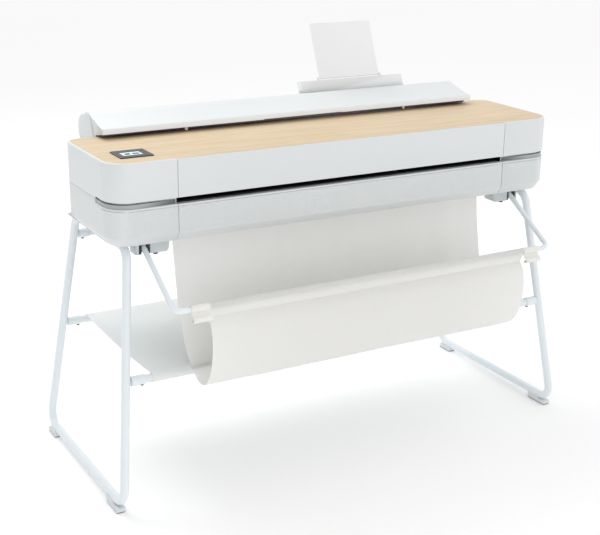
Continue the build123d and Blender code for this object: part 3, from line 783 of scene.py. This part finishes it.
def hang(name, width, stations, across, sag, thickness):
    """A cut of cloth as a flat grid that is laid along the stations, which are depths and heights."""
    lengths = [0.0]
    for before, after in zip(stations, stations[1:]):
        lengths.append(lengths[-1] + (Vector(after) - Vector(before)).length)
    total = lengths[-1]
    settle()
    bpy.ops.mesh.primitive_grid_add(x_subdivisions=across, y_subdivisions=len(stations) - 1, size=1)
    cloth = bpy.context.object
    cloth.name = name
    cloth.data.name = name
    row = len(stations)
    for vert in cloth.data.vertices:
        along = round((vert.co.y + 0.5) * (row - 1))
        share = vert.co.x * 2
        depth, height = stations[along]
        moved = sag(share, lengths[along] / total, depth, height)
        vert.co = (share * width / 2, at(moved[0]), moved[1] / 1000)
    for loop in cloth.data.uv_layers[0].data:
        loop.uv = (loop.uv[0] * width, loop.uv[1] * total / 1000)
    solid = cloth.modifiers.new("cloth thickness", "SOLIDIFY")
    solid.thickness = thickness
    solid.offset = 0.0
    bpy.ops.object.modifier_apply(modifier=solid.name)
    bpy.ops.object.mode_set(mode="EDIT")
    face_outward()
    bpy.ops.object.mode_set(mode="OBJECT")
    return cloth, total / 1000


def smooth_line(points, step):
    """Even stations, step millimetres apart, along a smooth line through the points."""
    fine = []
    ends = [points[0]] + list(points) + [points[-1]]
    for n in range(1, len(ends) - 2):
        p0, p1, p2, p3 = (Vector(p) for p in ends[n - 1 : n + 3])
        for k in range(24):
            t = k / 24
            fine.append(
                0.5
                * (
                    2 * p1
                    + (p2 - p0) * t
                    + (2 * p0 - 5 * p1 + 4 * p2 - p3) * t * t
                    + (3 * p1 - p0 - 3 * p2 + p3) * t * t * t
                )
            )
    fine.append(Vector(points[-1]))
    total = sum((b - a).length for a, b in zip(fine, fine[1:]))
    count = max(2, round(total / step))
    kept, walked, wanted = [tuple(fine[0])], 0.0, total / count
    for a, b in zip(fine, fine[1:]):
        reach = (b - a).length
        while reach > 0 and walked + reach >= wanted - 1e-9 and len(kept) < count:
            kept.append(tuple(a + (b - a) * ((wanted - walked) / reach)))
            wanted += total / count
        walked += reach
    kept.append(tuple(fine[-1]))
    return kept


def woven(name, pitch, slub, colours, strength, settings):
    """A plain weave on a cloth's own lengths, with threads that are a little uneven."""
    material, tree = new_finish(name)
    flat = add(tree, "ShaderNodeUVMap").outputs["UV"]
    across = add(tree, "ShaderNodeSeparateXYZ", None, {"Vector": flat})
    threads = []
    for axis in ("X", "Y"):
        threads.append(maths(tree, "SINE", maths(tree, "MULTIPLY", across.outputs[axis], 2 * pi / pitch)))
    weave = maths(tree, "MULTIPLY", *threads)
    uneven = noise(tree, stretch(tree, flat, slub), 1.0, 3.0)
    height = maths(tree, "MULTIPLY_ADD", weave, 0.5, uneven)
    looks = {
        "Base Color": blended(tree, uneven, *colours),
        "Normal": bumped(tree, height, strength, 0.0003),
    }
    surface(tree, settings, looks)
    return material


# The weave is a plain one of 0.4 mm threads, drawn 1.2 mm apart so that it shows.
shelf_finish = woven(
    "woven_polyester_grey_white",
    0.0024,
    (40.0, 900.0, 1.0),
    ("#E3E6E6", "#EBEDEC"),
    0.25,
    {"IOR": 1.5, "Roughness": 0.85, "Specular IOR Level": 0.2, "Sheen Weight": 0.2, "Sheen Roughness": 0.4},
)

bar_front = -13.0
bar_rear = 450.0
bar_z = 330.0
hem_r = 11.3


def round_bar(bar, turns):
    """Stations of a hem round a bar, at turns in degrees."""
    return [(bar + hem_r * cos(radians(t)), bar_z + hem_r * sin(radians(t))) for t in turns]


front_tube = round_bar(bar_front, range(60, -271, -15))
rear_tube = round_bar(bar_rear, range(90, -241, -15))
top_z = bar_z + hem_r
middle_run = smooth_line([(bar_front + 2.0, top_z), (218.0, top_z), (bar_rear - 2.0, top_z)], 9.0)


def shelf_hang(share, along, depth, height):
    between = max(0.0, min(1.0, (depth - bar_front) / (bar_rear - bar_front)))
    bow = 4 * between * (1 - between)
    on_top = 1.0 if height > bar_z + hem_r - 1.0 else 0.0
    ripple = 0.8 * sin(19 * share + 2.1) * sin(7 * share) * bow
    return depth, height - on_top * (8.5 * bow * (0.75 + 0.25 * share * share) + ripple)


stations = front_tube + middle_run[1:-1] + rear_tube
shelf_cloth, shelf_length = hang("shelf_cloth_woven", 1.15, stations, 120, shelf_hang, 0.0011)
complete(shelf_cloth, "machine", shelf_finish, 60)
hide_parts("shelf_cloth")

# ------------------------------------------------------------------ bin brackets
# Under each end of the body a moulded bracket with a black insert takes the end of the bin
# rod. The bracket is bluish grey nylon, round at its outer end and sloped at the inner one,
# and is held up by one screw.
bracket_finish = two_tone(
    "moulded_nylon_blue_grey",
    ("#C3CBCD", "#CBD2D4"),
    (25.0,),
    (1100.0,),
    (0.12, 0.0003),
    {"IOR": 1.53, "Roughness": 0.48},
)
bracket_x = (0.494, 0.584)
bracket_low = 0.6284
pivot_x = 0.56
pivot_depth = 50
pivot_z = 0.6435
room_half = 0.0142

for side_name, sign in (("left", -1), ("right", 1)):
    inner, outer = sorted((sign * bracket_x[0], sign * bracket_x[1]))
    low, high = (inner, at(42), bracket_low), (outer, at(84), 0.6619)
    bracket = start_block(f"bin_bracket_{side_name}", low, high)
    end_x = sign * bracket_x[0]

    def sloped_end(middle, normal):
        return abs(middle.x - end_x) < 0.0005 and middle.z < 0.65

    pick("EDGE", lambda middle, way: abs(way.y) > 0.9 and sloped_end(middle, way))
    bpy.ops.transform.translate(value=(sign * 0.004, 0, 0))
    outer_x = sign * bracket_x[1]
    pick("EDGE", lambda middle, way: abs(way.z) > 0.9 and abs(middle.x - outer_x) < 0.0005)
    round_over(0.008, 8)

    def lower_inner_edge(middle, way):
        return abs(way.y) > 0.9 and abs(middle.z - bracket_low) < 0.0005 and abs(middle.x) < 0.55

    pick("EDGE", lower_inner_edge)
    round_over(0.008, 6)
    for wall in (sign * 0.5458, sign * 0.5742):
        split((wall, 0, 0), (1, 0, 0))
    bpy.ops.object.mode_set(mode="OBJECT")
    room_low = (sign * pivot_x - room_half, at(20), 0.6)
    room_high = (sign * pivot_x + room_half, at(66.2), 0.6576)
    room = start_block("socket_room", room_low, room_high)
    bpy.ops.object.mode_set(mode="OBJECT")
    carve(bracket, room)
    round_edges(bracket, 0.001)
    complete(bracket, "machine", bracket_finish)
    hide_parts("bin_brackets")
    made = screw(f"bracket_screw_{side_name}", (sign * 0.5295, at(pivot_depth), 0.6266), size=1.7)
    complete(made, "machine", steel_finish)
bin_sockets = drawn_from("bin_sockets", "bin_socket_inserts", 0.0008)
bpy.ops.object.mode_set(mode="EDIT")
pick("VERT", lambda place_now, normal: place_now.z < 0.6262)
bpy.ops.transform.translate(value=(0, 0, 0.0036))
complete(bin_sockets, "machine", black_finish)
for side_name, sign in (("left", -1), ("right", 1)):
    bpy.ops.object.select_all(action="DESELECT")
    bpy.ops.mesh.primitive_cylinder_add(
        vertices=32,
        radius=0.003,
        depth=0.0275,
        location=(sign * pivot_x, at(pivot_depth), pivot_z),
        rotation=(0, pi / 2, 0),
    )
    pivot = bpy.context.object
    pivot.name = f"rod_pivot_{side_name}"
    pivot.data.name = pivot.name
    bpy.ops.object.transform_apply(location=True, rotation=True, scale=True)
    bpy.ops.object.mode_set(mode="EDIT")
    pick("EDGE", lambda middle, way: abs(way.x) < 0.5)
    round_over(0.0005, 2)
    complete(pivot, "machine", steel_finish)

# ------------------------------------------------------------------ bin cloth
# The drawing bin is one long piece of warm white polyester. It hangs from under the body,
# runs down and forward into a round belly and comes up in front, where a sewn hem takes the
# rod. Under the hem it folds in along a crease before it swells out again.
cloth_finish = woven(
    "woven_polyester_warm_white",
    0.0022,
    (45.0, 900.0, 1.0),
    ("#E2E1DD", "#EAE9E6"),
    0.22,
    {
        "IOR": 1.5,
        "Roughness": 0.82,
        "Specular IOR Level": 0.2,
        "Subsurface Weight": 0.75,
        "Subsurface Radius": (1.0, 1.0, 1.0),
        "Subsurface Scale": 0.006,
    },
)

rod_y = -129.0
rod_z = 535.0
rod_hem_r = 8.2
hem = []
for turn in range(-30, 237, 14):
    hem.append((rod_y + rod_hem_r * cos(radians(turn)), rod_z + rod_hem_r * sin(radians(turn))))
front_wall = [
    (-133.5, 528.2),
    (-128.0, 518.0),
    (-122.5, 509.0),
    (-121.0, 504.5),
    (-127.0, 498.0),
    (-138.0, 482.0),
    (-144.5, 450.0),
    (-143.5, 415.0),
    (-135.0, 375.0),
    (-120.0, 343.0),
    (-97.0, 320.0),
    (-66.0, 314.5),
    (-36.0, 328.0),
    (-7.0, 351.0),
    (22.0, 388.0),
    (43.0, 435.0),
    (58.0, 486.0),
    (70.0, 545.0),
    (79.0, 600.0),
    (84.5, 640.0),
    (86.0, 659.0),
]
stations = hem + smooth_line(front_wall, 7.0)[1:]


def bin_hang(share, along, depth, height):
    """Slack the flat line doesn't have: soft upright folds in the back wall and an uneven belly."""
    back = max(0.0, min(1.0, (depth + 60.0) / 110.0))
    belly = max(0.0, min(1.0, (500.0 - height) / 160.0))
    top = max(0.0, min(1.0, (660.0 - height) / 60.0))
    fold = 1.5 * sin(21 * share + 0.6) + 1.0 * sin(37 * share + 2.0) + 0.6 * sin(9.0 * share)
    sway = 1.2 * sin(5.0 * share + 1.0) + 0.7 * sin(13.0 * share)
    edge = max(0.0, abs(share) - 0.96) / 0.04
    in_front = (1 - back) * belly
    deeper = depth + back * top * fold * 0.9 - in_front * sway * 0.7 + 1.5 * edge * in_front
    lower = height + belly * (1 - back) * 0.8 * sway
    return deeper, lower


bin_cloth, bin_length = hang("bin_cloth_woven", 0.94, stations, 150, bin_hang, 0.0012)
complete(bin_cloth, None, cloth_finish, 60)
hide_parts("bin_cloth")
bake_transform(bin_cloth)

# ------------------------------------------------------------------ bin clips
# A springy band of white nylon at each end of the rod keeps the hem from sliding. It wraps
# the rod, drops in front of it and ends in an open curl.
clip_finish = two_tone(
    "moulded_nylon_warm_white",
    ("#EDECE8", "#E5E4DF"),
    (60.0,),
    None,
    (0.1, 0.0004),
    {"IOR": 1.53, "Roughness": 0.45},
)
for side_name, start_x in (("left", -0.5193), ("right", 0.4703)):
    band = arc((rod_y, rod_z), 8.6, -60, 240, 24)
    band += [(-136.0, 524.0), (-139.0, 520.0)]
    band += arc((-142.5, 512.0), 6.4, 75, 350, 18)
    clip = trace(f"bin_clip_{side_name}", band, start_x)
    bpy.ops.mesh.select_all(action="SELECT")
    extrude((0.049, 0, 0))
    face_outward()
    bpy.ops.object.mode_set(mode="OBJECT")
    wall = clip.modifiers.new("band thickness", "SOLIDIFY")
    wall.thickness = 0.002
    wall.offset = 0.0
    bpy.ops.object.modifier_apply(modifier=wall.name)
    round_edges(clip, 0.0004)
    complete(clip, "bin_rod", clip_finish, 40)
    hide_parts("bin_clips")

# ------------------------------------------------------------------ chassis
# Bent sheet steel plates, zinc plated, carry the works: the floor plate, two side plates,
# the leg plates and the roller bearings. Plating gives a cool grey with a faint spangle.
zinc_finish, tree = new_finish("zinc_plated_sheet_steel")
spangle = add(tree, "ShaderNodeTexVoronoi", {"Scale": 90.0}, {"Vector": position(tree)}).outputs["Distance"]
looks = {
    "Base Color": blended(tree, spangle, "#A9AFB3", "#BCC1C4"),
    "Roughness": ranged(tree, spangle, 0.0, 1.0, 0.3, 0.5),
}
surface(tree, {"Metallic": 0.9}, looks)
sheet_steel = ("chassis_plate", "side_plates", "leg_plates", "roller_bearings", "guide_bar", "power_supply")
refinish(zinc_finish, *sheet_steel)

# ------------------------------------------------------------------ rails and spindle
# Centreless ground steel bar for the carriage rail, the cutter rail and the roll spindle.
ground_finish, tree = new_finish("ground_steel_bar")
lay = noise(tree, stretch(tree, position(tree), (2400.0, 60.0, 60.0)), 1.0)
gloss = ranged(tree, lay, 0.0, 1.0, 0.16, 0.3)
surface(tree, {"Base Color": linear("#C4C6C8"), "Metallic": 1.0}, {"Roughness": gloss})
refinish(ground_finish, "carriage_rail", "cutter_rail", "spindle", "carriage_motor", "feed_motor")

# ------------------------------------------------------------------ carriage, platen and service station
# The moving carriage, the ribbed platen under the paper, the parking station, brackets,
# spindle hubs and cutter body are all moulded in black polycarbonate.
refinish(
    black_finish,
    "platen",
    "carriage",
    "print_heads",
    "cutter",
    "spindle_supports",
    "spindle_hub_left",
    "spindle_hub_right",
    "service_station",
    "pinch_arms",
    "idler_bracket",
)

# ------------------------------------------------------------------ rollers and belts
# The feed roller and pinch rollers are rubber faced; the two drive belts are neoprene.
refinish(rubber_finish, "feed_roller", "pinch_rollers", "feed_belt", "carriage_belt")

# Toothed pulleys are natural acetal, a milky white.
acetal_finish = two_tone(
    "natural_acetal", ("#E4E2D8", "#EEECE4"), (300.0,), None, None, {"IOR": 1.48, "Roughness": 0.4}
)
refinish(acetal_finish, "drive_pulley", "idler_pulley", "feed_pulley", "motor_pulley")

# ------------------------------------------------------------------ ink cartridges
# Four tanks side by side at the left, each in a smoke grey polypropylene shell with a
# plain colour band low on its face.
ink_finish, tree = new_finish("polypropylene_ink_tank")
spot = add(tree, "ShaderNodeSeparateXYZ", None, {"Vector": position(tree)})
tank = ranged(tree, spot.outputs["X"], -0.6195, -0.4995)
stops = [(0.0, "#1B1B1D"), (0.25, "#1E7FA8"), (0.5, "#A82A5C"), (0.75, "#D9B92C")]
inks = ramp(tree, tank, stops, "CONSTANT")
in_band = ranged(tree, spot.outputs["Z"], 0.705, 0.7045)
surface(tree, {"IOR": 1.49, "Roughness": 0.35}, {"Base Color": blended(tree, in_band, "#4A4D51", inks)})
refinish(ink_finish, "ink_cartridges")

# ------------------------------------------------------------------ main board
# A green solder masked circuit board on posts.
board_finish, tree = new_finish("solder_masked_board")
settings = {"Scale": 60.0, "Mortar Size": 0.03}
tracks = add(tree, "ShaderNodeTexBrick", settings, {"Vector": position(tree)}).outputs["Fac"]
surface(tree, {"IOR": 1.5, "Roughness": 0.3}, {"Base Color": blended(tree, tracks, "#1C5B3A", "#2B7A50")})
refinish(board_finish, "main_board")

# ------------------------------------------------------------------ encoder strip
# A thin clear polyester strip printed with fine lines, which the carriage reads.
film_finish, tree = new_finish("printed_polyester_film")
spot = add(tree, "ShaderNodeSeparateXYZ", None, {"Vector": position(tree)})
lines = maths(tree, "SINE", maths(tree, "MULTIPLY", spot.outputs["X"], 2 * pi / 0.002))
surface(tree, {"IOR": 1.6, "Roughness": 0.15}, {"Base Color": blended(tree, lines, "#5A6066", "#AEB6BC")})
refinish(film_finish, "encoder_strip")

# ------------------------------------------------------------------ rear connections
# A mains inlet with a rocker switch at one end of the back and a plate with two sockets at
# the other, all black moulded parts screwed to the casing.
refinish(black_finish, "power_inlet", "power_switch", "port_plate")

# ------------------------------------------------------------------ studio
# A pale floor that runs out to white under a bright even sky, one broad soft light above and
# behind the body, and a low wide one in front.
bpy.ops.object.select_all(action="DESELECT")
bpy.ops.mesh.primitive_plane_add(size=400, location=(0, 0, -0.0003))
floor = bpy.context.object
floor.name = "studio_floor"
floor_finish = two_tone(
    "studio_paper",
    ("#FAFAFA", "#FCFCFC"),
    (0.4,),
    None,
    None,
    {
        "Roughness": 0.9,
        "Specular IOR Level": 0.1,
        "Emission Color": linear("#FFFFFF"),
        "Emission Strength": 0.05,
    },
)
floor.data.materials.append(floor_finish)

world = bpy.data.worlds.new("studio")
bpy.context.scene.world = world
world.use_nodes = True
world.node_tree.nodes.clear()
tree = world.node_tree
towards = add(tree, "ShaderNodeTexCoord").outputs["Generated"]
heading = add(tree, "ShaderNodeSeparateXYZ", None, {"Vector": towards})
overhead = ranged(tree, heading.outputs["Z"], 0.0, 1.0, 0.72, 1.04)
strength = maths(tree, "MULTIPLY_ADD", heading.outputs["X"], 0.28, overhead)
sky = add(tree, "ShaderNodeBackground", {"Color": linear("#FFFFFF")}, {"Strength": strength})
add(tree, "ShaderNodeOutputWorld", None, {"Surface": sky.outputs[0]})


def soft_box(name, place_at, aim, width, height, power):
    """An area light at a place, pointed at an aim."""
    lamp = bpy.data.lights.new(name, "AREA")
    lamp.shape = "RECTANGLE"
    lamp.size = width
    lamp.size_y = height
    lamp.energy = power
    holder = bpy.data.objects.new(name, lamp)
    bpy.context.collection.objects.link(holder)
    holder.location = place_at
    holder.rotation_euler = (Vector(aim) - Vector(place_at)).to_track_quat("-Z", "Y").to_euler()


soft_box("key_light", (-0.9, 1.9, 3.2), (0, 0, 0.6), 2.4, 1.6, 41)
soft_box("front_light", (-1.3, -4.2, 0.9), (0, 0, 0.55), 3.0, 1.4, 17)

camera = bpy.data.objects.new("camera", bpy.data.cameras.new("camera"))
bpy.context.collection.objects.link(camera)
camera.data.sensor_width = 36.0
camera.data.lens = 71.494
azimuth, elevation, roll = radians(-29.648), radians(18.288), radians(0.724)
back = Vector((sin(azimuth) * cos(elevation), -cos(azimuth) * cos(elevation), sin(elevation)))
level = (-back).cross(Vector((0, 0, 1))).normalized()
upright = level.cross(-back)
x_axis = cos(roll) * level + sin(roll) * upright
y_axis = -sin(roll) * level + cos(roll) * upright
stand = Vector((-1.589303, -2.702430, 1.505035))
camera.matrix_world = Matrix(
    (
        (x_axis.x, y_axis.x, back.x, stand.x),
        (x_axis.y, y_axis.y, back.y, stand.y),
        (x_axis.z, y_axis.z, back.z, stand.z),
        (0, 0, 0, 1),
    )
)
bpy.context.scene.camera = camera
bpy.context.scene.view_settings.view_transform = "Standard"
